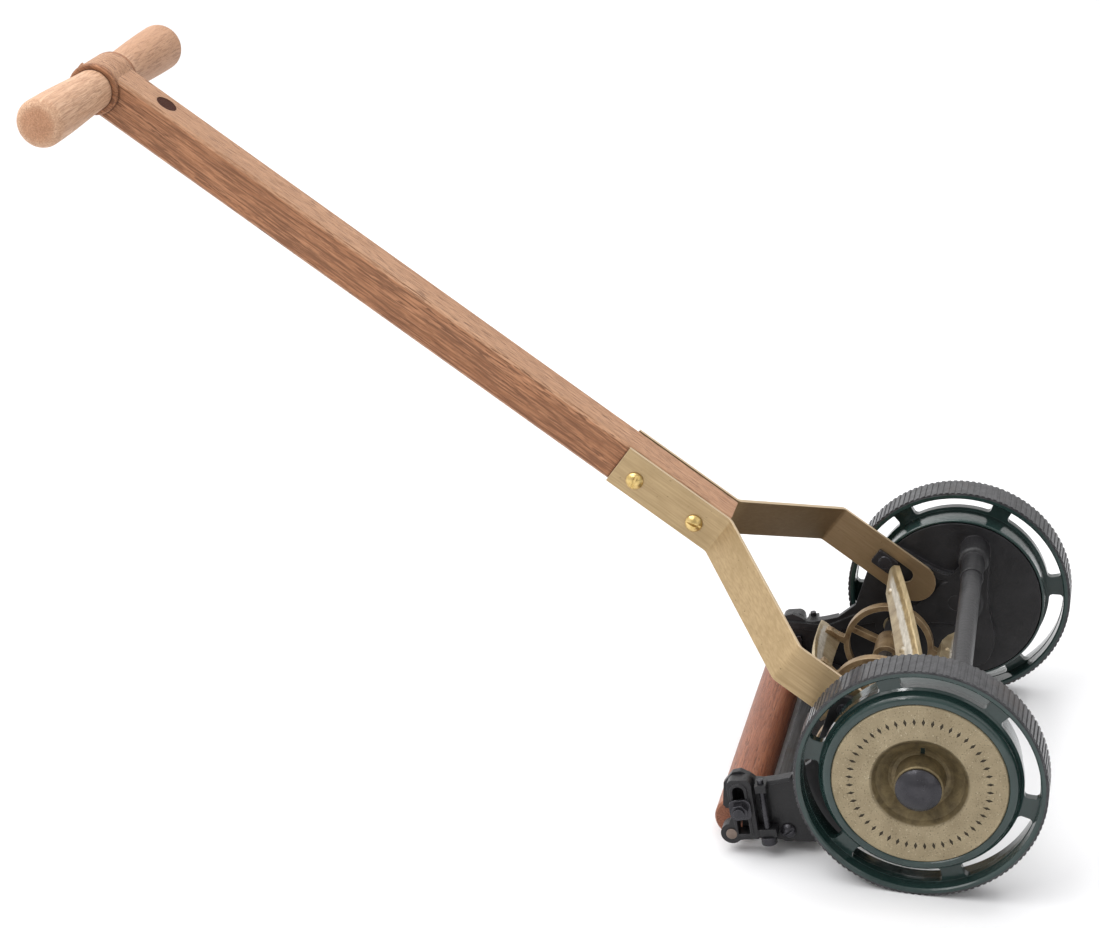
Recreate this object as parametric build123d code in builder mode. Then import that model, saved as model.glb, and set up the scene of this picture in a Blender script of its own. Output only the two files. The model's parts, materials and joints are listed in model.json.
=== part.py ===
from build123d import *
import os
from math import asin, cos, degrees, hypot, radians, sin

# Small reel mower: two geared ground wheels, a helical reel, a bed knife, a roller and a fork handle.
# +X is the way the mower is pushed, +Y its left side, +Z up.  The ground is z = 0 and the origin is
# under the middle of the whole machine.  In the helpers below x is measured from the wheel axle and
# z from the ground, and left-hand pieces are mirrored to make the right-hand ones.

os.makedirs("parts", exist_ok=True)

# ---- ground wheels ----
wheel_r = 54.0
wheel_face_y = 103.5
tread_w = 16.4
tread_depth = 1.0
rib_count = 116
rib_gap = 1.3
rib_depth = 0.38
rim_inner_r = 50.8
web_out_y = 98.0
web_t = 3.7
slot_inner_r = 43.6
slot_outer_r = 50.2
spoke_w = 9.5
spoke_count = 6
spoke_angle_left = 8.0
spoke_angle_right = -10.0
drum_r = 42.0
drum_in_y = 82.0
disc_seat_r = 37.6
hub_in_y = 85.6
hub_out_y = 95.2
hub_r = 10.5
plate_in_y = 92.2

# ---- drive gears ----
module = 1.0
ring_teeth = 78
pinion_teeth = 11
ring_gear_y = 89.6
ring_gear_w = 3.7
pinion_in_y = 86.0
pinion_face_w = 3.7
pinion_out_y = 91.8

# ---- axles and bearings ----
axle_r = 5.0
axle_thread_r = 4.0
bush_r = 7.0
running_gap = 0.05
cap_r = 9.9
boss_tip_y = 106.6
cap_base_y = 106.8
cap_tip_y = 112.0

# ---- reel ----
reel_r = 35.0
reel_angle = 207.7
reel_half_w = 73.2
reel_twist = 0.43
blade_count = 4
blade_start = 87.8
blade_sections = 7
spider_y = 56.0
spider_t = 4.0
ring_out_r = 21.5
ring_in_r = 18.9
reel_shaft_r = 4.0
journal_r = 3.0
reel_hub_r = 6.4

# ---- side frames ----
cover_r = 40.3
cover_out_y = 85.2
frame_out_y = 81.6
frame_in_y = 78.6
boss_in_y = 77.4

# ---- tie rod ----
tie_x_left = 7.0
tie_x_right = 12.0
tie_z = 81.5
tie_r = 4.8
tie_boss_r = 7.3
tie_boss_round = 2.6
tie_boss_end_y = 66.0
tie_collar_r = 5.5
tie_shoulder_y = 48.0
tenon_r = 3.0
tenon_end_y = 84.0

# ---- bed knife ----
knife_angle = -115.0
knife_gap = 0.15
knife_slope = 12.0
knife_w = 25.0
knife_t = 2.0
bar_start = 10.5
bar_w = 10.0
bar_t = 4.0
bar_rib_w = 3.0
bar_rib_h = 7.0
knife_rivet_at = 14.0

# ---- roller and its brackets ----
roller_r = 10.0
roller_x = -81.7
roller_half_w = 74.0
roller_axle_r = 2.5
bracket_y = 81.7
bracket_t = 6.0
bracket_tilt = 10.0
bolt_x = -78.1
bolt_z = 23.2
bolt_r = 2.4
screw_p = 10.0
screw_r = 1.4

# ---- handle ----
stud_x = -35.5
stud_z = 73.8
handle_pitch = 33.3
shaft_w = 20.5
shaft_h = 20.0
shaft_start = 81.5
shaft_chamfer = 1.6
grip_u = 427.6
grip_half = 74.0
grip_mid_r = 9.3
grip_end_r = 11.0
eye_r = 11.8
eye_half_w = 12.6
strap_w = 20.0
strap_t = 1.6
strap_y = 76.0
strap_bend_out = 31.4
strap_end = 137.6
strap_tip = 28.0
slot_w = 8.0
slot_from = -16.0
slot_to = 5.6
block_len = 11.0
screw_us = (93.9, 127.0)
screw_n = -1.8
stud_r = 3.2

# ---- worked out from the sizes above ----
pitch_cos = cos(radians(handle_pitch))
pitch_sin = sin(radians(handle_pitch))
grip_reach = grip_u * pitch_cos - stud_x
wheel_x = (grip_reach + eye_r - wheel_r) / 2
ring_pitch_r = ring_teeth * module / 2
pinion_pitch_r = pinion_teeth * module / 2
gear_centres = ring_pitch_r - pinion_pitch_r
reel_x = gear_centres * cos(radians(reel_angle))
reel_z = wheel_r + gear_centres * sin(radians(reel_angle))


def save(piece, name):
    """Name one finished piece and write its STEP file."""
    piece.label = name
    export_step(piece, f"parts/{name}.step")


def save_pair(left_piece, name):
    """Write a left-hand piece and its mirror image."""
    save(left_piece, f"{name}_left")
    save(mirror(left_piece, about=Plane.XZ), f"{name}_right")


def side(y, x=0.0, z=0.0):
    """Upright plane facing -Y, its origin x forward of the wheel axle and z above the ground."""
    return Plane(origin=(wheel_x + x, y, z), x_dir=(1, 0, 0), z_dir=(0, -1, 0))


def level(x, z):
    """Flat plane whose local x is measured outwards from the line (x, z) and whose y is world Y."""
    return Plane(origin=(wheel_x + x, 0, z), x_dir=(1, 0, 0), z_dir=(0, 0, 1))


def cross_axis(x, z):
    """Line along Y through (x, z)."""
    return Axis((wheel_x + x, 0, z), (0, 1, 0))


def turned(points, x, z):
    """Solid of revolution about the line along Y through (x, z), from (radius, y) points."""
    with BuildPart() as piece:
        with BuildSketch(level(x, z)):
            with BuildLine():
                Polyline(*points, close=True)
            make_face()
        revolve(axis=cross_axis(x, z))
    return piece.part


def joined(*pieces):
    """Several separate solids kept together as one node."""
    return Compound(children=list(pieces))


def dome_middle(foot_r, height):
    """Point half-way up the outline of a round dome, as (radius, height above its foot)."""
    ball_r = (foot_r**2 + height**2) / (2 * height)
    half = asin(foot_r / ball_r) / 2
    return (ball_r * sin(half), ball_r * cos(half) - (ball_r - height))


def in_plane(direction, along):
    """Point a distance along a direction given in degrees."""
    return (along * cos(radians(direction)), along * sin(radians(direction)))


# ======================= ground wheels =======================

rim_lip = 0.6
rim_draft = 0.4
drum_round = 2.6
drum_foot_w = 0.6
drum_foot_h = 0.8
seat_bevel = 0.6
mouth_bevel = 0.4
tread_inset = 0.3
drum_face_y = 103.1
disc_seat_y = 101.2
disc_ledge_r = 35.6
cavity_r = 40.35
mouth_r = 40.9
tooth_tip = 0.7
tooth_root = 1.15
ring_tooth_tip_w = 0.85
ring_tooth_root_w = 1.75
pinion_tooth_tip_w = 0.55
pinion_tooth_root_w = 1.75


def wheel_casting(spoke_angle):
    """Wheel with its ribbed tread, slotted web, drum, hub and the ring of inside teeth."""
    web_in_y = web_out_y - web_t
    rim_in_y = wheel_face_y - tread_w
    body_r = wheel_r - tread_depth
    corner_y = drum_face_y - drum_round
    corner_turns = [radians(90 * step / 6) for step in range(7)]
    drum_corner = []
    for turn in corner_turns:
        drum_corner.append((drum_r - drum_round + drum_round * cos(turn), corner_y + drum_round * sin(turn)))
    section = [
        (body_r, rim_in_y),
        (body_r, wheel_face_y),
        (rim_inner_r + rim_lip, wheel_face_y),
        (rim_inner_r, wheel_face_y - rim_lip),
        (rim_inner_r - rim_draft, web_out_y),
        (slot_inner_r, web_out_y),
        (drum_r + drum_foot_w, web_out_y + drum_foot_h),
        *drum_corner,
        (disc_seat_r + seat_bevel, drum_face_y),
        (disc_seat_r, drum_face_y - seat_bevel),
        (disc_seat_r, disc_seat_y),
        (disc_ledge_r, disc_seat_y),
        (disc_ledge_r, hub_out_y),
        (bush_r, hub_out_y),
        (bush_r, hub_in_y),
        (hub_r, hub_in_y),
        (hub_r, plate_in_y),
        (cavity_r, plate_in_y),
        (cavity_r, hub_in_y),
        (mouth_r, hub_in_y - mouth_bevel),
        (mouth_r, drum_in_y),
        (drum_r - mouth_bevel, drum_in_y),
        (drum_r, drum_in_y + mouth_bevel),
        (drum_r, web_in_y),
        (rim_inner_r - rim_draft, web_in_y),
        (rim_inner_r, rim_in_y + rim_lip),
        (rim_inner_r + rim_lip, rim_in_y),
    ]
    slot_mid_r = (slot_inner_r + slot_outer_r) / 2
    slot_arc = 360 / spoke_count - degrees(spoke_w / slot_mid_r)
    slot_width = slot_outer_r - slot_inner_r
    half_pitch = 180 / rib_count
    with BuildPart() as wheel:
        add(turned(section, 0, wheel_r))
        # tread ring with its fine cross ribs
        with BuildSketch(side(wheel_face_y - tread_inset, 0, wheel_r)):
            Circle(wheel_r)
            with PolarLocations(wheel_r, rib_count, start_angle=half_pitch):
                Rectangle(2 * rib_depth, rib_gap, mode=Mode.SUBTRACT)
            Circle(body_r - 0.5, mode=Mode.SUBTRACT)
        extrude(amount=tread_w - 2 * tread_inset)
        # curved slots between the spokes
        with BuildSketch(side(web_out_y + 1, 0, wheel_r)) as slots:
            with BuildLine():
                first = spoke_angle + degrees(spoke_w / slot_mid_r) / 2
                a1 = first
                a2 = first + slot_arc
                p1 = in_plane(a1, slot_inner_r)
                p2 = in_plane(a2, slot_inner_r)
                p3 = in_plane(a2, slot_outer_r)
                p4 = in_plane(a1, slot_outer_r)
                middle = (a1 + a2) / 2
                ThreePointArc(p1, in_plane(middle, slot_inner_r), p2)
                Line(p2, p3)
                ThreePointArc(p3, in_plane(middle, slot_outer_r), p4)
                Line(p4, p1)
            make_face()
            fillet(slots.vertices(), slot_width * 0.28)
        tool = extrude(amount=web_t + 2, mode=Mode.PRIVATE)
        for turn in range(spoke_count):
            add(tool.rotate(cross_axis(0, wheel_r), turn * 360 / spoke_count), mode=Mode.SUBTRACT)
        # inside teeth, one space pointing at the reel shaft
        tip_r = ring_pitch_r - tooth_tip
        tooth_pitch = 360 / ring_teeth
        with BuildSketch(side(ring_gear_y, 0, wheel_r)):
            with PolarLocations(0, ring_teeth, start_angle=reel_angle + tooth_pitch / 2):
                Polygon(
                    (tip_r, -ring_tooth_tip_w / 2),
                    (cavity_r + 0.3, -ring_tooth_root_w / 2),
                    (cavity_r + 0.3, ring_tooth_root_w / 2),
                    (tip_r, ring_tooth_tip_w / 2),
                    align=None,
                )
        extrude(amount=ring_gear_w)
    return wheel.part


save(wheel_casting(spoke_angle_left), "wheel_left")
save(mirror(wheel_casting(spoke_angle_right), about=Plane.XZ), "wheel_right")

# brass face disc, dished in the middle, with an oil notch near the top of the dish
dish_r = 20.6
dish_floor_y = 96.2
dish_floor_r = 12.6
dish_back_r = 16.5
hub_boss_r = 10.9
hub_boss_tip_r = 10.4
hub_boss_bore = 5.6
disc_section = [
    (disc_seat_r, disc_seat_y),
    (disc_seat_r, drum_face_y - 0.5),
    (disc_seat_r - 0.5, drum_face_y),
    (dish_r + 0.8, drum_face_y),
    (dish_r, drum_face_y - 0.7),
    (dish_r - 1.7, 100.3),
    (dish_floor_r + 1.4, dish_floor_y + 0.5),
    (dish_floor_r, dish_floor_y),
    (hub_boss_r, dish_floor_y),
    (hub_boss_tip_r + 0.1, boss_tip_y - 0.5),
    (hub_boss_tip_r - 0.4, boss_tip_y),
    (hub_boss_bore, boss_tip_y),
    (hub_boss_bore, hub_out_y),
    (dish_back_r, hub_out_y),
    (dish_r - 0.6, 98.2),
    (dish_r + 0.8, disc_seat_y),
]
oil_slot_w = 2.0
oil_slot_top = 14.6
mark_count = 48
mark_r = 29.8
mark_len = 3.6
mark_w = 1.5
mark_depth = 0.35
with BuildPart() as hub_disc:
    add(turned(disc_section, 0, wheel_r))
    # oil slot in the floor of the dish, at the foot of the boss
    with BuildSketch(side(drum_face_y, 0, wheel_r + (hub_boss_r + oil_slot_top) / 2)):
        Rectangle(oil_slot_w, oil_slot_top - hub_boss_r)
    extrude(amount=drum_face_y - hub_out_y + 1, mode=Mode.SUBTRACT)
    # border of small punched lozenges
    with BuildSketch(side(drum_face_y, 0, wheel_r)):
        with PolarLocations(mark_r, mark_count):
            Polygon((-mark_len / 2, 0), (0, -mark_w / 2), (mark_len / 2, 0), (0, mark_w / 2), align=None)
    extrude(amount=mark_depth, mode=Mode.SUBTRACT)
save_pair(hub_disc.part, "hub_disc")

bushing_section = [
    (axle_r + running_gap, hub_in_y),
    (bush_r, hub_in_y),
    (bush_r, hub_out_y),
    (axle_r + running_gap, hub_out_y),
]
save_pair(turned(bushing_section, 0, wheel_r), "wheel_bushing")

# ======================= axles =======================

axle_root_y = 77.4
thread_end_y = 109.4
axle_section = [
    (0, axle_root_y),
    (axle_thread_r, axle_root_y),
    (axle_thread_r, cover_out_y),
    (axle_r, cover_out_y),
    (axle_r, cap_base_y),
    (axle_thread_r, cap_base_y),
    (axle_thread_r, thread_end_y),
    (0, thread_end_y),
]
save_pair(turned(axle_section, 0, wheel_r), "axle")

cap_edge_y = 108.2
cap_shoulder_r = cap_r - 0.7
cap_shoulder_y = cap_edge_y + 0.6
cap_mid_r, cap_mid_h = dome_middle(cap_shoulder_r, cap_tip_y - cap_shoulder_y)
with BuildPart() as axle_cap:
    with BuildSketch(level(0, wheel_r)):
        with BuildLine():
            Polyline(
                (0, thread_end_y),
                (axle_thread_r, thread_end_y),
                (axle_thread_r, cap_base_y),
                (cap_r - 0.5, cap_base_y),
                (cap_r, cap_base_y + 0.5),
                (cap_r, cap_edge_y),
                (cap_shoulder_r, cap_shoulder_y),
            )
            ThreePointArc(
                (cap_shoulder_r, cap_shoulder_y),
                (cap_mid_r, cap_shoulder_y + cap_mid_h),
                (0, cap_tip_y),
            )
            Line((0, cap_tip_y), (0, thread_end_y))
        make_face()
    revolve(axis=cross_axis(0, wheel_r))
save_pair(axle_cap.part, "axle_cap")

# ======================= side frames =======================

stud_pad_r = 6.8
reel_boss_r = 9.0
axle_boss_r = 12.8
axle_boss_bevel = 1.0
arm_under_z = 19.0
arm_end_x = -87.0
arm_notch_x = -78.0
rim_t = 2.0
bar_screw_s = 13.6
bar_screw_r = 1.3
bar_screw_head_r = 3.5
bar_lug_r = 5.5
reel_bush_r = 5.0
reel_bush_in_y = 77.2
knife_cos = cos(radians(knife_slope))
knife_sin = sin(radians(knife_slope))
knife_edge_x = reel_x + (reel_r + knife_gap) * cos(radians(knife_angle))
knife_edge_z = reel_z + (reel_r + knife_gap) * sin(radians(knife_angle))


def on_knife(along, up):
    """Point (x, z) so far back along the knife's top face and so far above it."""
    return (
        knife_edge_x - along * knife_cos + up * knife_sin,
        knife_edge_z + along * knife_sin + up * knife_cos,
    )


bar_screw_x, bar_screw_z = on_knife(bar_screw_s, bar_t / 2)
# inner plate: its arm top, then its rear and lower edges, then its front and upper edges
arm_top = [
    (-57.3, 39.3),
    (-63.6, 37.1),
    (-69.4, 35.4),
    (-73.0, 35.2),
]
plate_rear = [
    (-31.0, 80.0),
    (-41.0, 79.0),
    (-44.0, 66.0),
    (-49.0, 47.0),
    *arm_top,
    (-75.6, 36.9),
    (-80.0, 38.5),
    (-83.4, 37.2),
    (arm_end_x, 31.7),
    (arm_end_x, arm_under_z + 1.5),
    (arm_end_x + 1.5, arm_under_z),
    (arm_notch_x - 0.6, arm_under_z),
    (arm_notch_x, arm_under_z - 0.6),
    (arm_notch_x, 8.5),
    (-76.2, 6.5),
    (-52.0, 6.5),
    (-34.0, 9.0),
    (-6.0, 13.5),
    (15.5, 22.0),
]
plate_front = [
    (15.5, 22.0),
    (19.2, 31.0),
    (18.8, 41.0),
    (15.8, 52.0),
    (14.5, 63.0),
]
plate_upper = [
    (-3.4, 69.0),
    (-9.0, 70.2),
    (-19.0, 74.6),
    (-31.0, 80.0),
]
# raised parts of the plate's inner side
upper_rib = [
    (-31.0, 78.8),
    (-18.6, 73.6),
    (-9.0, 69.3),
    (-3.8, 68.1),
    (0.5, 74.0),
    (6.5, 74.0),
    (3.0, 66.0),
    (-3.0, 64.8),
    (-9.4, 65.9),
    (-18.0, 69.6),
    (-31.0, 74.6),
]
middle_web = [
    (-6.0, 64.4),
    (-13.5, 55.5),
    (-19.0, 51.2),
    (-28.0, 47.0),
    (-36.0, 43.0),
    (-30.0, 31.0),
    (-12.0, 42.0),
    (2.0, 43.0),
]
arm_rib = [
    (-33.0, 46.0),
    (-50.0, 41.5),
    (-62.0, 34.6),
    (-84.0, 34.6),
    (-84.0, 31.0),
    (-60.0, 31.0),
    (-47.0, 36.5),
    (-33.0, 41.0),
]


def tie_line(this_x, other_x):
    """Plane across the tie rod's axis, half-way along it; the rod leaves the left side at this_x."""
    return Plane(
        origin=(wheel_x + (this_x + other_x) / 2, 0, tie_z),
        x_dir=(0, 0, 1),
        z_dir=(this_x - other_x, 2 * frame_in_y, 0),
    )


def tie_boss(line):
    """Round-cornered boss with a long collar, standing on the plate along the tie rod's axis."""
    corner_foot = (tie_boss_r - tie_boss_round + 1.0, tie_boss_end_y + 0.4)
    corner_mid = (tie_boss_r - 0.4, tie_boss_end_y + 1.1)
    corner_top = (tie_boss_r, tie_boss_end_y + tie_boss_round)
    boss_plane = Plane(origin=line.origin, x_dir=line.x_dir, z_dir=line.x_dir.cross(line.z_dir))
    with BuildPart() as boss:
        with BuildSketch(boss_plane):
            with BuildLine():
                Polyline(
                    corner_top,
                    (tie_boss_r, frame_out_y + 1),
                    (0, frame_out_y + 1),
                    (0, tie_shoulder_y),
                    (tie_collar_r - 0.4, tie_shoulder_y),
                    (tie_collar_r, tie_shoulder_y + 0.4),
                    (tie_collar_r, tie_boss_end_y),
                )
                Line((tie_collar_r, tie_boss_end_y), corner_foot)
                ThreePointArc(corner_foot, corner_mid, corner_top)
            make_face()
        revolve(axis=Axis(line.origin, line.z_dir))
    return boss.part


def frame_casting(this_tie_x, other_tie_x):
    """Left-hand side frame: round cover, inner plate with its rear arm, ribs and bosses."""
    line = tie_line(this_tie_x, other_tie_x)
    boss = tie_boss(line)
    axle_boss = turned(
        [
            (0, frame_out_y),
            (axle_boss_r, frame_out_y),
            (axle_boss_r, boss_in_y + axle_boss_bevel),
            (axle_boss_r - axle_boss_bevel, boss_in_y),
            (0, boss_in_y),
        ],
        0,
        wheel_r,
    )
    with BuildPart() as casting:
        # round cover that closes the wheel's drum
        with BuildSketch(side(cover_out_y, 0, wheel_r)):
            Circle(cover_r)
        extrude(amount=cover_out_y - frame_out_y)
        # inner plate with its rear arm
        with BuildSketch(side(frame_out_y)):
            with BuildLine():
                Polyline(*plate_rear)
                Spline(*plate_front, (this_tie_x + tie_boss_r, tie_z))
                Line((this_tie_x + tie_boss_r, tie_z), (this_tie_x - tie_boss_r, tie_z))
                Spline((this_tie_x - tie_boss_r, tie_z), *plate_upper)
            make_face()
            with Locations((stud_x, stud_z)):
                Circle(stud_pad_r)
            with Locations((bar_screw_x, bar_screw_z)):
                Circle(bar_lug_r)
        extrude(amount=frame_out_y - frame_in_y)
        # raised pads, ribs and bosses on the inner side
        with BuildSketch(side(frame_in_y)):
            with Locations((stud_x, stud_z)):
                Circle(stud_pad_r - 0.6)
            with Locations((reel_x, reel_z)):
                Circle(reel_boss_r)
            for rib in (upper_rib, middle_web, arm_rib):
                with BuildLine():
                    Polyline(*rib, close=True)
                make_face()
        extrude(amount=frame_in_y - boss_in_y)
        add(axle_boss)
        add(boss)
        # rim along the arm's top, on the outer side
        with BuildSketch(side(frame_out_y + rim_t)):
            with BuildLine():
                Polyline(*arm_top, *[(x, z - rim_t) for x, z in reversed(arm_top)], close=True)
            make_face()
        extrude(amount=rim_t)
        # bores
        with BuildSketch(side(cover_out_y, 0, wheel_r)):
            Circle(axle_thread_r)
        extrude(amount=20, mode=Mode.SUBTRACT)
        with BuildSketch(side(cover_out_y, reel_x, reel_z)):
            Circle(reel_bush_r)
        extrude(amount=20, mode=Mode.SUBTRACT)
        with BuildSketch(side(frame_out_y + 1, stud_x, stud_z)):
            Circle(stud_r)
        extrude(amount=20, mode=Mode.SUBTRACT)
        with BuildSketch(line.offset(tenon_end_y)):
            Circle(tenon_r)
        extrude(amount=tie_shoulder_y - tenon_end_y - 1, mode=Mode.SUBTRACT)
        with BuildSketch(side(cover_out_y)):
            with Locations((bar_screw_x, bar_screw_z)):
                Circle(bar_screw_r)
            with Locations((bolt_x, bolt_z)):
                Circle(bolt_r)
        extrude(amount=20, mode=Mode.SUBTRACT)
    return casting.part


# lug that the height screw threads through
bracket_plane = Plane(
    origin=(wheel_x + bolt_x, bracket_y + bracket_t, bolt_z),
    x_dir=(cos(radians(bracket_tilt)), 0, sin(radians(bracket_tilt))),
    z_dir=(0, -1, 0),
)
screw_y = bracket_y + bracket_t / 2 + 0.8
lug_half = 2.5
lug_from_q = 7.2
lug_to_q = 10.8
screw_line = Plane(
    origin=(
        wheel_x + bolt_x + screw_p * cos(radians(bracket_tilt)),
        screw_y,
        bolt_z + screw_p * sin(radians(bracket_tilt)),
    ),
    x_dir=(0, 1, 0),
    z_dir=(-sin(radians(bracket_tilt)), 0, cos(radians(bracket_tilt))),
)


def side_frame(this_tie_x, other_tie_x):
    """Side frame with the small lug that guides the height screw."""
    casting = frame_casting(this_tie_x, other_tie_x)
    with BuildPart() as frame:
        add(casting)
        with BuildSketch(screw_line.offset(lug_from_q)):
            with Locations(((frame_out_y - screw_y + lug_half) / 2, 0)):
                Rectangle(screw_y + lug_half - frame_out_y, 2 * lug_half)
        extrude(amount=lug_to_q - lug_from_q)
        with BuildSketch(screw_line.offset(lug_from_q - 1)):
            Circle(screw_r + running_gap)
        extrude(amount=lug_to_q - lug_from_q + 2, mode=Mode.SUBTRACT)
    return frame.part


save(side_frame(tie_x_left, tie_x_right), "side_frame_left")
save(mirror(side_frame(tie_x_right, tie_x_left), about=Plane.XZ), "side_frame_right")

# ======================= tie rod =======================

tie_axis = tie_line(tie_x_left, tie_x_right)
with BuildPart() as tie_rod:
    with BuildSketch(tie_axis.offset(-tie_shoulder_y)):
        Circle(tie_r)
    extrude(amount=2 * tie_shoulder_y)
    with BuildSketch(tie_axis.offset(-tenon_end_y)):
        Circle(tenon_r)
    extrude(amount=2 * tenon_end_y)
save(tie_rod.part, "tie_rod")

# ======================= handle studs =======================

stud_end_y = 73.3
stud_section = [
    (0, stud_end_y),
    (stud_r - 0.4, stud_end_y),
    (stud_r, stud_end_y + 0.4),
    (stud_r, frame_out_y),
    (0, frame_out_y),
]
save_pair(turned(stud_section, stud_x, stud_z), "handle_stud")

# ======================= bed knife =======================

knife_half_w = 77.6
bar_half_w = frame_in_y
knife_rivet_r = 1.3
knife_rivet_head_r = 2.4
knife_rivet_ys = (-60.0, -30.0, 0.0, 30.0, 60.0)
knife_line = Plane(
    origin=(wheel_x + knife_edge_x, 0, knife_edge_z),
    x_dir=(-knife_cos, 0, knife_sin),
    z_dir=(knife_sin, 0, knife_cos),
)
with BuildPart() as bed_knife:
    with BuildSketch(side(knife_half_w)):
        with BuildLine():
            Polyline(
                on_knife(0, 0),
                on_knife(knife_w, 0),
                on_knife(knife_w, -knife_t),
                on_knife(0.8, -knife_t),
                on_knife(0, -knife_t * 0.4),
                close=True,
            )
        make_face()
    extrude(amount=2 * knife_half_w)
    with BuildSketch(knife_line.offset(1)):
        with Locations(*[(knife_rivet_at, -y) for y in knife_rivet_ys]):
            Circle(knife_rivet_r)
    extrude(amount=-10, mode=Mode.SUBTRACT)
save(bed_knife.part, "bed_knife")

bar_end = bar_start + bar_w
with BuildPart() as bed_bar:
    with BuildSketch(side(bar_half_w)):
        with BuildLine():
            Polyline(
                on_knife(bar_start, 0),
                on_knife(bar_end, 0),
                on_knife(bar_end, bar_rib_h),
                on_knife(bar_end - bar_rib_w + 0.8, bar_rib_h),
                on_knife(bar_end - bar_rib_w, bar_t),
                on_knife(bar_start + 0.8, bar_t),
                on_knife(bar_start, bar_t - 0.8),
                close=True,
            )
        make_face()
    extrude(amount=2 * bar_half_w)
    with BuildSketch(knife_line.offset(-1)):
        with Locations(*[(knife_rivet_at, -y) for y in knife_rivet_ys]):
            Circle(knife_rivet_r)
    extrude(amount=12, mode=Mode.SUBTRACT)
    for y_start in (bar_half_w, -bar_half_w + 10):
        with BuildSketch(side(y_start, bar_screw_x, bar_screw_z)):
            Circle(bar_screw_r)
        extrude(amount=10, mode=Mode.SUBTRACT)
save(bed_bar.part, "bed_bar")


def bed_rivet(y):
    """One rivet through the knife and the bar, flush below and domed above."""
    with BuildPart() as rivet:
        with BuildSketch(knife_line.offset(-knife_t)):
            with Locations((knife_rivet_at, -y)):
                Circle(knife_rivet_r)
        extrude(amount=knife_t + bar_t)
        with BuildSketch(knife_line.offset(bar_t)):
            with Locations((knife_rivet_at, -y)):
                Circle(knife_rivet_head_r)
        extrude(amount=1.1, taper=35)
    return rivet.part


save(joined(*[bed_rivet(y) for y in knife_rivet_ys]), "bed_knife_rivets")


def round_head_screw(plane, shank_r, shank_len, head_r, head_h, slot_angle=0.0):
    """Slotted round-head screw: head above the plane, shank below it."""
    slot_w_here = 0.28 * head_r
    rim_h = 0.3 * head_h
    mid_r, mid_h = dome_middle(head_r, head_h - rim_h)
    with BuildPart() as screw:
        with BuildSketch(plane):
            Circle(shank_r)
        extrude(amount=-shank_len)
        profile_plane = Plane(origin=plane.origin, x_dir=plane.x_dir, z_dir=plane.y_dir)
        with BuildSketch(profile_plane):
            with BuildLine():
                # local x runs outwards; the head stands along minus y
                Line((0, 0), (head_r, 0))
                Line((head_r, 0), (head_r, -rim_h))
                ThreePointArc((head_r, -rim_h), (mid_r, -rim_h - mid_h), (0, -head_h))
                Line((0, -head_h), (0, 0))
            make_face()
        revolve(axis=Axis(plane.origin, plane.z_dir))
        with BuildSketch(plane.offset(head_h * 0.5)):
            Rectangle(2.2 * head_r, slot_w_here, rotation=slot_angle)
        extrude(amount=head_h, mode=Mode.SUBTRACT)
    return screw.part


def outward(y, x, z):
    """Plane on a left-hand face at y, facing away from the machine."""
    return Plane(origin=(wheel_x + x, y, z), x_dir=(1, 0, 0), z_dir=(0, 1, 0))


bar_screw_len = 12.0
bar_screw_head_h = 2.4
bar_screw_plane = outward(frame_out_y, bar_screw_x, bar_screw_z)
bar_screw = round_head_screw(
    bar_screw_plane, bar_screw_r, bar_screw_len, bar_screw_head_r, bar_screw_head_h, slot_angle=-40
)
save(joined(bar_screw, mirror(bar_screw, about=Plane.XZ)), "bed_bar_screws")

# ======================= reel =======================

save_pair(
    turned(
        [
            (journal_r + running_gap, reel_bush_in_y),
            (reel_bush_r, reel_bush_in_y),
            (reel_bush_r, cover_out_y),
            (journal_r + running_gap, cover_out_y),
        ],
        reel_x,
        reel_z,
    ),
    "reel_bearing",
)

journal_y = 76.8
shaft_end_y = 92.0
pawl_from_y = 89.9
pawl_t = 1.6
pawl_w = 1.8
pawl_len = 8.2
pawl_reach = 0.7
pawl_slot_gap = 0.05
with BuildPart() as reel_shaft:
    with BuildSketch(side(journal_y, reel_x, reel_z)):
        Circle(reel_shaft_r)
    extrude(amount=2 * journal_y)
    with BuildSketch(side(shaft_end_y, reel_x, reel_z)):
        Circle(journal_r)
    extrude(amount=2 * shaft_end_y)
    for y_start in (pawl_from_y + pawl_t + pawl_slot_gap, -pawl_from_y + pawl_slot_gap):
        with BuildSketch(side(y_start, reel_x, reel_z)):
            Rectangle(4 * journal_r, pawl_w + 2 * pawl_slot_gap, rotation=reel_angle)
        extrude(amount=pawl_t + 2 * pawl_slot_gap, mode=Mode.SUBTRACT)
save(reel_shaft.part, "reel_shaft")


def pawl(y_start, shift):
    """Sliding bar in the shaft's cross slot, moved so far out towards one end."""
    with BuildPart() as bar:
        with BuildSketch(side(y_start, reel_x, reel_z)):
            with Locations(in_plane(reel_angle, shift)):
                Rectangle(pawl_len, pawl_w, rotation=reel_angle)
        extrude(amount=pawl_t)
    return bar.part


save(pawl(pawl_from_y + pawl_t, pawl_reach), "pawl_left")
save(pawl(-pawl_from_y, 0), "pawl_right")

# cross-section of one blade, its cutting corner straight above the reel axis at reel_r
land_angle = 4.0
blade_points = [
    (0.0, reel_r),
    (-reel_r * sin(radians(land_angle)), reel_r * cos(radians(land_angle))),
    (-4.4, 32.4),
    (-6.6, 24.4),
    (-4.6, 23.1),
]
blade_front = (blade_points[-1], blade_points[0])
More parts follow.
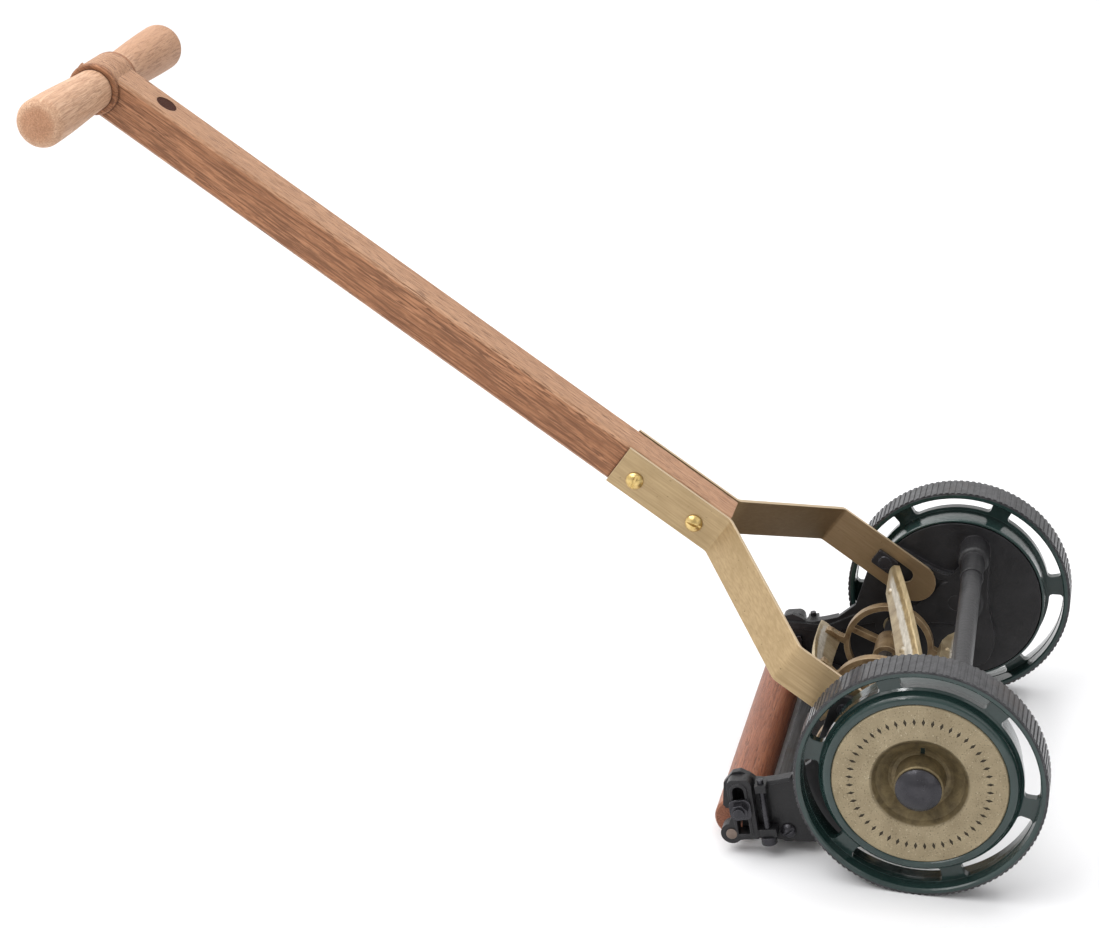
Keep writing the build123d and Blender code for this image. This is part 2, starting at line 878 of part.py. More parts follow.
# what is cut off each blade end to leave a rounded point at the cutting corner, as (radius, y)
blade_end_cut = [
    (reel_r + 1.0, reel_half_w - 2.4),
    (reel_r - 0.2, reel_half_w - 0.7),
    (reel_r - 1.2, reel_half_w - 0.1),
    (31.5, 72.0),
    (27.5, 66.0),
    (24.5, 58.5),
    (22.0, 51.5),
    (20.0, 51.5),
    (20.0, reel_half_w + 2.0),
    (reel_r + 1.0, reel_half_w + 2.0),
]


def blade_turn(y):
    """Angle of a blade's cutting corner about the reel axis at y, from +X towards +Z."""
    return blade_start - (reel_half_w - y) * reel_twist


def about_reel(point, angle):
    """Turn a point given for a blade standing straight up to the blade's real angle."""
    turn = radians(angle - 90)
    px, pz = point
    return (px * cos(turn) - pz * sin(turn), px * sin(turn) + pz * cos(turn))


spider_ys = (spider_y, 0.0, -spider_y)
lug_gap = 0.55
spoke_lead = 77.5
lug_root_from = 89.0
lug_root_to = 103.0
lug_t = 2.6
rivet_r = 1.2
rivet_head_r = 2.0
rivet_along = 4.4
rivet_grip = 2.35
rivet_head_h = 1.3
front_len = hypot(blade_front[1][0] - blade_front[0][0], blade_front[1][1] - blade_front[0][1])
front_dir = (
    (blade_front[1][0] - blade_front[0][0]) / front_len,
    (blade_front[1][1] - blade_front[0][1]) / front_len,
)
front_out = (front_dir[1], -front_dir[0])


def before_blade(along, ahead):
    """Point so far along a blade's front face from its inner end and so far ahead of it."""
    x0, z0 = blade_front[0]
    return (
        x0 + along * front_dir[0] + ahead * front_out[0],
        z0 + along * front_dir[1] + ahead * front_out[1],
    )


def blade_rivet(y, index, head):
    """Rivet through a lug and its blade, with a domed head behind the blade when asked for."""
    angle = blade_turn(y) + index * 360 / blade_count
    foot = about_reel(before_blade(rivet_along, lug_gap + lug_t), angle)
    ahead = about_reel(front_out, angle)
    plane = Plane(
        origin=(wheel_x + reel_x + foot[0], y, reel_z + foot[1]),
        x_dir=(0, 1, 0),
        z_dir=(-ahead[0], 0, -ahead[1]),
    )
    with BuildPart() as rivet:
        with BuildSketch(plane):
            Circle(rivet_r)
        extrude(amount=lug_t + lug_gap + rivet_grip)
        if head:
            with BuildSketch(plane.offset(lug_t + lug_gap + rivet_grip)):
                Circle(rivet_head_r)
            extrude(amount=rivet_head_h, taper=35)
    return rivet.part


def reel_blade(index):
    """Helical blade, lofted through its cross-section turned a little more at each step."""
    with BuildPart() as blade:
        for step in range(blade_sections):
            y = reel_half_w - 2 * reel_half_w * step / (blade_sections - 1)
            angle = blade_turn(y) + index * 360 / blade_count
            with BuildSketch(side(y, reel_x, reel_z)):
                with BuildLine():
                    Polyline(*[about_reel(point, angle) for point in blade_points], close=True)
                make_face()
        loft()
        add(blade_end_left, mode=Mode.SUBTRACT)
        add(blade_end_right, mode=Mode.SUBTRACT)
        for y in spider_ys:
            add(blade_rivet(y, index, True), mode=Mode.SUBTRACT)
    return blade.part


blade_end_left = turned(blade_end_cut, reel_x, reel_z)
blade_end_right = mirror(blade_end_left, about=Plane.XZ)
for index in range(blade_count):
    save(reel_blade(index), f"reel_blade_{index + 1}")


def spider(y, hub_from, hub_to):
    """Ring with four spokes and a hub, and a curved lug ahead of each blade."""
    with BuildPart() as body:
        with BuildSketch(side(y + spider_t / 2, reel_x, reel_z)):
            Circle(ring_out_r)
            Circle(ring_in_r, mode=Mode.SUBTRACT)
            with PolarLocations(0, 4, start_angle=blade_turn(y) + spoke_lead):
                with Locations((ring_in_r / 2, 0)):
                    Rectangle(ring_in_r + 1, 2.8)
            for index in range(blade_count):
                angle = blade_turn(y) + index * 360 / blade_count
                outline = [
                    before_blade(1.0, lug_gap),
                    before_blade(9.0, lug_gap),
                    before_blade(9.0, lug_gap + lug_t * 0.7),
                    before_blade(7.0, lug_gap + lug_t),
                    before_blade(3.0, lug_gap + lug_t),
                    before_blade(0.0, lug_gap + lug_t + 0.6),
                    in_plane(lug_root_from, ring_out_r - 0.6),
                    in_plane(lug_root_to, ring_out_r - 0.6),
                ]
                with BuildLine():
                    Polyline(*[about_reel(point, angle) for point in outline], close=True)
                make_face()
        extrude(amount=spider_t)
        with BuildSketch(side(hub_to, reel_x, reel_z)):
            Circle(reel_hub_r)
        extrude(amount=hub_to - hub_from)
        with BuildSketch(side(hub_to + 1, reel_x, reel_z)):
            Circle(reel_shaft_r)
        extrude(amount=hub_to - hub_from + 2, mode=Mode.SUBTRACT)
        for index in range(blade_count):
            add(blade_rivet(y, index, False), mode=Mode.SUBTRACT)
    return body.part


hub_len = 17.0
save(spider(spider_y, spider_y + 2.5 - hub_len, spider_y + 2.5), "reel_spider_left")
save(spider(0.0, -hub_len / 2, hub_len / 2), "reel_spider_middle")
save(spider(-spider_y, -spider_y - 2.5, -spider_y - 2.5 + hub_len), "reel_spider_right")
rivets = [blade_rivet(y, index, True) for y in spider_ys for index in range(blade_count)]
save(joined(*rivets), "reel_rivets")

# ======================= pinions =======================

pinion_tip_r = pinion_pitch_r + 0.7
pinion_root_r = pinion_pitch_r - 1.1
cup_r = 6.6
cup_bore_r = 4.55
cup_notch_r = 5.2
cup_notch_w = 2.6
cup_notch_count = 4
with BuildPart() as pinion:
    with BuildSketch(side(pinion_in_y + pinion_face_w, reel_x, reel_z)):
        Circle(pinion_root_r)
        with PolarLocations(0, pinion_teeth, start_angle=reel_angle):
            Polygon(
                (pinion_root_r - 0.4, -pinion_tooth_root_w / 2),
                (pinion_tip_r, -pinion_tooth_tip_w / 2),
                (pinion_tip_r, pinion_tooth_tip_w / 2),
                (pinion_root_r - 0.4, pinion_tooth_root_w / 2),
                align=None,
            )
    extrude(amount=pinion_face_w)
    # ratchet cup on the outer end
    with BuildSketch(side(pinion_out_y, reel_x, reel_z)):
        Circle(cup_r)
        Circle(cup_bore_r, mode=Mode.SUBTRACT)
        with PolarLocations(0, cup_notch_count, start_angle=reel_angle):
            with Locations((cup_bore_r, 0)):
                Rectangle(2 * (cup_notch_r - cup_bore_r), cup_notch_w, mode=Mode.SUBTRACT)
    extrude(amount=pinion_out_y - pinion_in_y - pinion_face_w)
    with BuildSketch(side(pinion_out_y, reel_x, reel_z)):
        Circle(journal_r + running_gap)
    extrude(amount=10, mode=Mode.SUBTRACT)
save_pair(pinion.part, "pinion")

# ======================= roller =======================

roller_chamfer = 0.8
roller_section = [
    (roller_axle_r + running_gap, -roller_half_w),
    (roller_r - roller_chamfer, -roller_half_w),
    (roller_r, -roller_half_w + roller_chamfer),
    (roller_r, roller_half_w - roller_chamfer),
    (roller_r - roller_chamfer, roller_half_w),
    (roller_axle_r + running_gap, roller_half_w),
]
save(turned(roller_section, roller_x, roller_r), "roller")

axle_tip_y = 88.2
with BuildPart() as roller_axle:
    with BuildSketch(side(axle_tip_y, roller_x, roller_r)):
        Circle(roller_axle_r)
    extrude(amount=2 * axle_tip_y)
save(roller_axle.part, "roller_axle")

# brackets are drawn about the clamp bolt, with local y along their tilted slot
bracket_from_p = -5.0
bracket_to_p = 6.0
bracket_up = 14.0
bracket_down = -15.5
bracket_round = 3.2
slot_border = 1.3
clamp_slot_w = 5.2
clamp_slot_top = 10.9
clamp_slot_low = -12.6
axle_boss = 4.9
ear_to_p = 14.2
ear_from_q = -15.2
ear_to_q = -11.4
tilt_cos = cos(radians(bracket_tilt))
tilt_sin = sin(radians(bracket_tilt))


def in_bracket(x, z):
    """Local place on the bracket of a point given by x and z."""
    dx = x - bolt_x
    dz = z - bolt_z
    return (dx * tilt_cos + dz * tilt_sin, -dx * tilt_sin + dz * tilt_cos)


def clamp_slot(grow):
    """Clamp slot, round above and square below, made bigger all round by grow."""
    half = clamp_slot_w / 2 + grow
    low = clamp_slot_low - grow
    spring = clamp_slot_top - clamp_slot_w / 2
    with BuildSketch() as outline:
        with BuildLine():
            Polyline((-half, spring), (-half, low), (half, low), (half, spring))
            ThreePointArc((half, spring), (0, spring + half), (-half, spring))
        make_face()
    return outline.sketch


axle_p, axle_q = in_bracket(roller_x, roller_r)
slot_hole = clamp_slot(0)
slot_rim = clamp_slot(slot_border)
with BuildPart() as roller_bracket:
    with BuildSketch(bracket_plane) as outline:
        with BuildLine():
            Polyline(
                (bracket_from_p, bracket_up),
                (bracket_to_p, bracket_up),
                (bracket_to_p, bracket_down),
                (axle_p + axle_boss * 0.5, axle_q - axle_boss * 0.7),
                (axle_p - axle_boss * 0.6, axle_q),
                (bracket_from_p, axle_q + axle_boss + 3.0),
                close=True,
            )
        make_face()
        fillet(outline.vertices().group_by(Axis.Y)[-1], bracket_round)
        with Locations((axle_p, axle_q)):
            Circle(axle_boss)
    extrude(amount=bracket_t)
    # ear that carries the height screw
    ear_from_p = bracket_to_p - 0.5
    with BuildSketch(screw_line.offset(ear_from_q)):
        with Locations((bracket_y + bracket_t / 2 - screw_y, screw_p - (ear_from_p + ear_to_p) / 2)):
            Rectangle(bracket_t - 0.6, ear_to_p - ear_from_p)
    extrude(amount=ear_to_q - ear_from_q)
    # slot for the clamp bolt, with a raised border
    with BuildSketch(bracket_plane.offset(-0.6)):
        add(slot_rim)
    extrude(amount=1.0)
    with BuildSketch(bracket_plane.offset(-1)):
        add(slot_hole)
    extrude(amount=bracket_t + 3, mode=Mode.SUBTRACT)
    with BuildSketch(bracket_plane.offset(-2)):
        with Locations((axle_p, axle_q)):
            Circle(roller_axle_r)
    extrude(amount=bracket_t + 3, mode=Mode.SUBTRACT)
    with BuildSketch(screw_line.offset(ear_from_q - 1)):
        Circle(screw_r)
    extrude(amount=ear_to_q - ear_from_q + 2, mode=Mode.SUBTRACT)
save_pair(roller_bracket.part, "roller_bracket")

screw_head_r = 3.5
screw_head_h = 3.6
screw_top_q = 12.8
with BuildPart() as height_screw:
    with BuildSketch(screw_line.offset(ear_from_q)):
        Circle(screw_r)
    extrude(amount=screw_top_q - ear_from_q)
    with BuildSketch(screw_line.offset(ear_from_q)):
        Circle(screw_head_r)
    extrude(amount=-screw_head_h)
save_pair(height_screw.part, "height_screw")

# clamp bolt: square head inside the arm, washer and nut outside the bracket
bolt_head = 7.6
bolt_head_h = 2.0
washer_side = 9.6
washer_t = 1.0
washer_corner = 2.6
nut_side = 6.8
nut_t = 2.8
bolt_end = 1.2
washer_in_y = bracket_y + bracket_t + 0.7
nut_in_y = washer_in_y + washer_t
with BuildPart() as bracket_bolt:
    with BuildSketch(side(frame_in_y, bolt_x, bolt_z)):
        Rectangle(bolt_head, bolt_head, rotation=bracket_tilt)
    extrude(amount=bolt_head_h)
    with BuildSketch(side(nut_in_y + nut_t + bolt_end, bolt_x, bolt_z)):
        Circle(bolt_r)
    extrude(amount=nut_in_y + nut_t + bolt_end - frame_in_y)
save(joined(bracket_bolt.part, mirror(bracket_bolt.part, about=Plane.XZ)), "bracket_bolts")

with BuildPart() as bracket_washer:
    with BuildSketch(side(washer_in_y + washer_t, bolt_x, bolt_z)):
        RectangleRounded(washer_side, washer_side, washer_corner, rotation=bracket_tilt)
        Circle(bolt_r, mode=Mode.SUBTRACT)
    extrude(amount=washer_t)
save(joined(bracket_washer.part, mirror(bracket_washer.part, about=Plane.XZ)), "bracket_washers")

with BuildPart() as bracket_nut:
    with BuildSketch(side(nut_in_y + nut_t, bolt_x, bolt_z)):
        RegularPolygon(nut_side / 2, 6, major_radius=False, rotation=20)
        Circle(bolt_r, mode=Mode.SUBTRACT)
    extrude(amount=nut_t)
save(joined(bracket_nut.part, mirror(bracket_nut.part, about=Plane.XZ)), "bracket_nuts")

# ======================= handle =======================

handle_line = Plane(
    origin=(wheel_x + stud_x, 0, stud_z),
    x_dir=(-pitch_cos, 0, pitch_sin),
    z_dir=(0, 1, 0),
)


def on_handle(u, n, y):
    """World point so far along the handle, above its middle line and to the left."""
    return handle_line.from_local_coords((u, n, y))


half_shaft_w = shaft_w / 2
plug_u = 398.2
plug_r = 5.0
plug_depth = 6.0
peg_r = 2.2
peg_out = 1.2
peg_in = 9.0
screw_depth = 8.0
handle_screw_r = 1.7
top_face = Plane(origin=on_handle(plug_u, shaft_h / 2, 0), x_dir=handle_line.x_dir, z_dir=handle_line.y_dir)
peg_plane = Plane(
    origin=on_handle(grip_u + eye_r - peg_in, 0, 0),
    x_dir=(0, 1, 0),
    z_dir=handle_line.x_dir,
)
grip_x = stud_x - grip_u * pitch_cos
grip_z = stud_z + grip_u * pitch_sin
eye_bevel = 0.7
shaft_eye = turned(
    [
        (0, -eye_half_w),
        (eye_r - eye_bevel, -eye_half_w),
        (eye_r, -eye_half_w + eye_bevel),
        (eye_r, eye_half_w - eye_bevel),
        (eye_r - eye_bevel, eye_half_w),
        (0, eye_half_w),
    ],
    grip_x,
    grip_z,
)
with BuildPart() as handle_shaft:
    with BuildSketch(handle_line.offset(-half_shaft_w)):
        with Locations(((shaft_start + grip_u) / 2, 0)):
            Rectangle(grip_u - shaft_start, shaft_h)
    extrude(amount=shaft_w)
    long_edges = handle_shaft.edges().filter_by(lambda edge: edge.length > grip_u / 2)
    chamfer(long_edges, shaft_chamfer)
    # round eye for the crossbar
    add(shaft_eye)
    with BuildSketch(handle_line.offset(-eye_half_w - 1)):
        with Locations((grip_u, 0)):
            Circle(grip_mid_r)
    extrude(amount=2 * eye_half_w + 2, mode=Mode.SUBTRACT)
    # hole for the plug in the upper face, and for the peg that pins the crossbar
    with BuildSketch(top_face):
        Circle(plug_r)
    extrude(amount=-plug_depth, mode=Mode.SUBTRACT)
    with BuildSketch(peg_plane):
        Circle(peg_r)
    extrude(amount=peg_in + 5, mode=Mode.SUBTRACT)
    # screw holes
    for way in (-1, 1):
        with BuildSketch(handle_line.offset(way * half_shaft_w)):
            with Locations(*[(u, screw_n) for u in screw_us]):
                Circle(handle_screw_r)
        extrude(amount=-way * screw_depth, mode=Mode.SUBTRACT)
save(handle_shaft.part, "handle_shaft")

with BuildPart() as shaft_plug:
    with BuildSketch(top_face.offset(-plug_depth)):
        Circle(plug_r)
    extrude(amount=plug_depth - 0.2)
save(shaft_plug.part, "shaft_plug")

grip_corner = 4.3
grip_dome_h = 0.6
grip_dome_r = grip_end_r - grip_corner
grip_swell = grip_half - grip_dome_h - grip_corner
grip_dome_mid_r, grip_dome_mid_h = dome_middle(grip_dome_r, grip_dome_h)
corner_mid = grip_corner * cos(radians(45))
with BuildPart() as handle_grip:
    with BuildSketch(level(grip_x, grip_z)):
        with BuildLine():
            Line((0, -grip_half), (0, grip_half))
            for way in (1, -1):
                Spline(
                    (grip_mid_r, way * eye_half_w),
                    ((grip_mid_r + grip_end_r) / 2 + 0.2, way * (eye_half_w + grip_swell) / 2),
                    (grip_end_r, way * grip_swell),
                    tangents=((0.02, way), (0, way)),
                )
                ThreePointArc(
                    (grip_end_r, way * grip_swell),
                    (grip_dome_r + corner_mid, way * (grip_swell + corner_mid)),
                    (grip_dome_r, way * (grip_swell + grip_corner)),
                )
                ThreePointArc(
                    (grip_dome_r, way * (grip_swell + grip_corner)),
                    (grip_dome_mid_r, way * (grip_swell + grip_corner + grip_dome_mid_h)),
                    (0, way * grip_half),
                )
            Line((grip_mid_r, -eye_half_w), (grip_mid_r, eye_half_w))
        make_face()
    revolve(axis=cross_axis(grip_x, grip_z))
    with BuildSketch(peg_plane):
        Circle(peg_r)
    extrude(amount=peg_in, mode=Mode.SUBTRACT)
save(handle_grip.part, "handle_grip")

with BuildPart() as grip_peg:
    with BuildSketch(peg_plane):
        Circle(peg_r)
    extrude(amount=peg_in + peg_out)
save(grip_peg.part, "grip_peg")

# brass fork straps, bent twice, slotted over the pivot blocks
slot_corner = 1.0
strap_in_y = half_shaft_w + strap_t / 2
bend_r = 3.0
strap_plane = Plane(
    origin=on_handle(0, -strap_w / 2, 0),
    x_dir=handle_line.x_dir,
    z_dir=handle_line.y_dir,
)
with BuildPart() as fork_strap:
    with BuildSketch(strap_plane):
        with BuildLine():
            FilletPolyline(
                (-strap_tip, -strap_y),
                (strap_bend_out, -strap_y),
                (shaft_start, -strap_in_y),
                (strap_end, -strap_in_y),
                radius=bend_r,
            )
        trace(line_width=strap_t)
    extrude(amount=strap_w)
    # rounded outer end
    with BuildSketch(handle_line.offset(strap_y - strap_t)):
        with Locations((-strap_tip + strap_w / 4 - 1, 0)):
            Rectangle(strap_w / 2 + 2, strap_w + 2)
        with Locations((-strap_tip + strap_w / 2, 0)):
            Circle(strap_w / 2, mode=Mode.SUBTRACT)
    extrude(amount=2 * strap_t, mode=Mode.SUBTRACT)
    # slot, round at its outer end and square at its inner end
    with BuildSketch(handle_line.offset(strap_y - strap_t)) as strap_slot:
        with BuildLine():
            Polyline(
                (slot_from + slot_w / 2, -slot_w / 2),
                (slot_to, -slot_w / 2),
                (slot_to, slot_w / 2),
                (slot_from + slot_w / 2, slot_w / 2),
            )
            ThreePointArc(
                (slot_from + slot_w / 2, slot_w / 2),
                (slot_from, 0),
                (slot_from + slot_w / 2, -slot_w / 2),
            )
        make_face()
        fillet(strap_slot.vertices().group_by(Axis.X)[-1], slot_corner)
    extrude(amount=2 * strap_t, mode=Mode.SUBTRACT)
    with BuildSketch(handle_line.offset(half_shaft_w - 1)):
        with Locations(*[(u, screw_n) for u in screw_us]):
            Circle(handle_screw_r)
    extrude(amount=strap_t + 2, mode=Mode.SUBTRACT)
save_pair(fork_strap.part, "fork_strap")


def strap_screw(u, slot_angle):
    """Left-hand screw holding the strap to the shaft."""
    plane = Plane(origin=on_handle(u, screw_n, half_shaft_w + strap_t), x_dir=(1, 0, 0), z_dir=(0, 1, 0))
    return round_head_screw(plane, handle_screw_r, strap_t + screw_depth, 4.0, 2.6, slot_angle)


left_screws = [strap_screw(screw_us[0], 20), strap_screw(screw_us[1], -70)]
right_screws = [mirror(screw, about=Plane.XZ) for screw in left_screws]
save(joined(*left_screws, *right_screws), "strap_screws")

# blocks that turn on the studs and slide in the strap slots
block_in_y = 73.6
block_out_y = 77.2
block_gap = 0.06
with BuildPart() as pivot_block:
    with BuildSketch(handle_line.offset(block_in_y)):
        RectangleRounded(block_len, slot_w - 2 * block_gap, 1.2)
        Circle(stud_r + running_gap, mode=Mode.SUBTRACT)
    extrude(amount=block_out_y - block_in_y)
save_pair(pivot_block.part, "pivot_block")
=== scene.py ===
import json
import math

import bpy
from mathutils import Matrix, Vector


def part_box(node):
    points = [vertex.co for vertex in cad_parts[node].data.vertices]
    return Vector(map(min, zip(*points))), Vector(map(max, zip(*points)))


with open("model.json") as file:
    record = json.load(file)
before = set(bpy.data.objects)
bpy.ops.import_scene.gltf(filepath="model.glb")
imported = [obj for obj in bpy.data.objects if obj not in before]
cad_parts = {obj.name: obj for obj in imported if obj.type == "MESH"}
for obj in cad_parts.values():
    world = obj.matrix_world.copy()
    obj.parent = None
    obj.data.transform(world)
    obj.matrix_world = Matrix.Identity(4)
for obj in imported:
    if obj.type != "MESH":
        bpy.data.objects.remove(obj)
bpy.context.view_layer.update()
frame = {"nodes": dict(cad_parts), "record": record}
nodes = frame["nodes"]

# Every piece of the mower is a CAD body. This script gives each one its finish, and adds a floor,
# lights and a camera. Lengths are in metres.


def centre(node):
    low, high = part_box(node)
    return (low + high) / 2


# ---- places taken from the frame ----
wheel_low, wheel_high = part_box("wheel_left")
WHEEL_X = centre("wheel_left").x
WHEEL_R = (wheel_high.z - wheel_low.z) / 2
REEL_X = centre("reel_shaft").x
REEL_Z = centre("reel_shaft").z
stud = centre("handle_stud_left")
STUD = (stud.x, 0.0, stud.z)
crossbar = centre("handle_grip")
HANDLE_PITCH = math.atan2(crossbar.z - stud.z, stud.x - crossbar.x)

# ---- turns that lay a grain along the handle's shaft, across the mower, and upright ----
ALONG_HANDLE = (0, -HANDLE_PITCH, 0)
ACROSS = (0, 0, math.radians(90))
UPRIGHT = (0, math.radians(90), 0)

# ---- where a finish changes on a piece ----
# foot of the tread's ribs, from the axle
TREAD_R = WHEEL_R - 0.00115
# flat face of the brass discs, just inside the rim's face, and how deep a mark's floor is at least
DISC_FACE_Y = wheel_high.y - 0.0004
MARK_DEPTH = 0.0002
# from the axle: lip of the disc's dish, and the ring that holds the punched marks
DISH_R = 0.02055
MARKS_IN_R = 0.02575
MARKS_OUT_R = 0.03475
# from the reel's axis: where a blade turns from cast to ground, to streaked, to the cutting land
BLADE_GROUND_R = 0.0296
BLADE_STREAK_R = 0.0330
BLADE_LAND_R = 0.0345
# from the middle plane: the pointed ends of the blades, the sides of the handle's shaft, where the
# straps lie against it, and the ends of its crossbar
BLADE_END_Y = 0.0640
SHAFT_SIDE_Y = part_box("fork_strap_left")[0].y - 0.00015
CROSSBAR_END_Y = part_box("handle_grip")[1].y - 0.0004


class Graph:
    """A material's node tree, with short calls for the nodes used here."""

    def __init__(self, name, metallic=0.0, roughness=0.5, coat=0.0, specular=0.5):
        self.material = bpy.data.materials.new(name)
        self.material.use_nodes = True
        self.tree = self.material.node_tree
        self.shader = self.tree.nodes["Principled BSDF"]
        self.shader.inputs["Metallic"].default_value = metallic
        self.shader.inputs["Roughness"].default_value = roughness
        self.shader.inputs["Coat Weight"].default_value = coat
        self.shader.inputs["Coat Roughness"].default_value = 0.12
        self.shader.inputs["Specular IOR Level"].default_value = specular

    def node(self, kind, **inputs):
        made = self.tree.nodes.new(kind)
        for name, value in inputs.items():
            self.put(made.inputs[name], value)
        return made

    def put(self, socket, value):
        if isinstance(value, bpy.types.NodeSocket):
            self.tree.links.new(value, socket)
        else:
            socket.default_value = value

    def vector(self, operation, first, second):
        made = self.node("ShaderNodeVectorMath")
        made.operation = operation
        self.put(made.inputs[0], first)
        self.put(made.inputs[1], second)
        return made.outputs

    def place(self, location=(0, 0, 0), turn=(0, 0, 0), scale=(1, 1, 1)):
        """Object coordinates, in the frame at rest, measured from location, then turned and scaled."""
        where = self.node("ShaderNodeTexCoord").outputs["Object"]
        moved = self.vector("SUBTRACT", where, location)[0]
        turned = self.node("ShaderNodeVectorRotate", Vector=moved)
        turned.rotation_type = "EULER_XYZ"
        turned.inputs["Rotation"].default_value = turn
        return self.vector("MULTIPLY", turned.outputs[0], scale)[0]

    def noise(self, where, scale, detail=4.0, rough=0.55, distortion=0.0):
        made = self.node("ShaderNodeTexNoise", Vector=where, Scale=scale, Detail=detail, Roughness=rough)
        made.inputs["Distortion"].default_value = distortion
        return made.outputs["Fac"]

    def ramp(self, value, *stops):
        """Colour ramp from (position, colour) stops."""
        made = self.node("ShaderNodeValToRGB", Fac=value)
        elements = made.color_ramp.elements
        while len(elements) < len(stops):
            elements.new(0.5)
        for element, (position, colour) in zip(elements, stops):
            element.position = position
            element.color = (*colour, 1.0)
        return made.outputs["Color"]

    def math(self, operation, first, second=0.0, clamp=False):
        made = self.node("ShaderNodeMath")
        made.operation = operation
        made.use_clamp = clamp
        self.put(made.inputs[0], first)
        self.put(made.inputs[1], second)
        return made.outputs[0]

    def times(self, *factors):
        """Product of sockets and numbers."""
        product = factors[0]
        for factor in factors[1:]:
            product = self.math("MULTIPLY", product, factor)
        return product

    def inverse(self, value):
        """1 where value is 0, and 0 where it is 1."""
        return self.math("SUBTRACT", 1.0, value, clamp=True)

    def mix(self, share, first, second, blend="MIX"):
        """Colour between first and second."""
        made = self.tree.nodes.new("ShaderNodeMix")
        made.data_type = "RGBA"
        made.blend_type = blend
        self.put(made.inputs["Factor"], share)
        for socket, value in ((made.inputs[6], first), (made.inputs[7], second)):
            self.put(socket, (*value, 1.0) if isinstance(value, tuple) else value)
        return made.outputs[2]

    def blend(self, share, first, second):
        """Number between first and second."""
        made = self.tree.nodes.new("ShaderNodeMix")
        made.data_type = "FLOAT"
        self.put(made.inputs[0], share)
        self.put(made.inputs[2], first)
        self.put(made.inputs[3], second)
        return made.outputs[0]

    def split(self, where):
        return self.node("ShaderNodeSeparateXYZ", Vector=where).outputs

    def radius(self, x, z):
        """Distance from the line along Y through (x, z)."""
        made = self.node("ShaderNodeVectorMath", Vector=self.place((x, 0, z), scale=(1, 0, 1)))
        made.operation = "LENGTH"
        return made.outputs["Value"]

    def step(self, value, low, high):
        """0 below low, 1 above high, smooth between."""
        made = self.node("ShaderNodeMapRange", Value=value)
        made.interpolation_type = "SMOOTHSTEP"
        made.inputs["From Min"].default_value = low
        made.inputs["From Max"].default_value = high
        return made.outputs["Result"]

    def beyond(self, value, limit, soft):
        """0 below limit and 1 above it, changing over soft on either side."""
        return self.step(value, limit - soft, limit + soft)

    def edges(self, width, low=0.03, high=0.22):
        """1 on sharp outside and inside edges, 0 on flat and smoothly curved faces."""
        soft = self.node("ShaderNodeBevel", Radius=width)
        soft.samples = 6
        flat = self.node("ShaderNodeNewGeometry").outputs["Normal"]
        agreement = self.vector("DOT_PRODUCT", soft.outputs[0], flat)["Value"]
        return self.step(self.math("SUBTRACT", 1.0, agreement), low, high)

    def crevice(self, reach, low=0.48, high=0.76):
        """1 deep in seams and corners narrower than reach, 0 in the open."""
        made = self.node("ShaderNodeAmbientOcclusion", Distance=reach)
        made.samples = 6
        return self.inverse(self.step(made.outputs["AO"], low, high))

    def bump(self, height, depth, strength, rounded):
        """Relief of the given depth, on edges rounded to the given radius."""
        made = self.node("ShaderNodeBump", Height=height, Distance=depth, Strength=strength)
        soft = self.node("ShaderNodeBevel", Radius=rounded)
        soft.samples = 4
        self.put(made.inputs["Normal"], soft.outputs[0])
        self.put(self.shader.inputs["Normal"], made.outputs[0])

    def colour(self, value):
        self.put(self.shader.inputs["Base Color"], value)

    def rough(self, value):
        self.put(self.shader.inputs["Roughness"], value)

    def metal(self, value):
        self.put(self.shader.inputs["Metallic"], value)


def green_enamel():
    """Dark green gloss enamel with a few worn edges, bare worn iron on the ribbed tread."""
    g = Graph("green_enamel", coat=0.45, specular=0.35)
    where = g.place()
    cloud = g.noise(where, 60.0, 5.0)
    fine = g.noise(where, 900.0, 3.0)
    paint = g.ramp(cloud, (0.3, (0.0100, 0.0250, 0.0225)), (0.7, (0.0200, 0.0420, 0.0385)))
    chips = g.step(g.noise(where, 520.0, 6.0, 0.7), 0.69, 0.74)
    paint = g.mix(g.times(chips, 0.3), paint, (0.03, 0.045, 0.042))
    worn = g.times(g.edges(0.0005), g.step(g.noise(where, 300.0, 4.0), 0.42, 0.62))
    paint = g.mix(g.times(worn, 0.4), paint, (0.05, 0.085, 0.078))
    grime = g.noise(where, 240.0, 6.0, 0.65)
    iron = g.ramp(grime, (0.3, (0.020, 0.020, 0.022)), (0.7, (0.066, 0.065, 0.070)))
    rust = g.step(g.noise(where, 70.0, 5.0, 0.6), 0.55, 0.75)
    iron = g.mix(g.times(rust, 0.3), iron, (0.085, 0.060, 0.048))
    tread = g.beyond(g.radius(WHEEL_X, WHEEL_R), TREAD_R, 0.00025)
    g.colour(g.mix(tread, paint, iron))
    g.rough(g.blend(tread, g.blend(fine, 0.12, 0.28), 0.55))
    g.metal(g.times(tread, 0.6))
    g.bump(g.noise(where, 420.0, 3.0), 0.00022, 0.8, rounded=0.0006)
    return g.material


